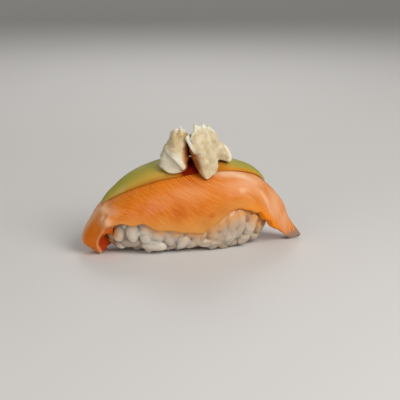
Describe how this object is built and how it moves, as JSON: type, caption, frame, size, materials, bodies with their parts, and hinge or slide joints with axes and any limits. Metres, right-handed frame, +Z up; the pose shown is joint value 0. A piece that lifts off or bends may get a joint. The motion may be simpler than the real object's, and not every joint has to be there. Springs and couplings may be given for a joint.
{
  "type": "salmon nigiri",
  "caption": "Piece of hand-pressed sushi: a block of vinegared rice under a draped slice of raw salmon, topped with an avocado slice and gathered pickled ginger.",
  "frame": {"origin": "middle of the footprint, on the plane that the rice stands on", "axes": "+X along the nigiri towards the free tail of the salmon, -Y towards the side where more rice shows, +Z up"},
  "size_m": [0.0774, 0.0248, 0.0433],
  "materials": {
    "rice": "moist, translucent white grains",
    "salmon": "wet, smooth, with fine pale fat lines",
    "avocado": "smooth and slightly greasy",
    "ginger": "moist, thin and translucent"
  },
  "bodies": {
    "root": {"rice": "rice", "salmon_slice": "salmon", "avocado_slice": "avocado", "ginger_left": "ginger", "ginger_right": "ginger"}
  },
  "joints": []
}
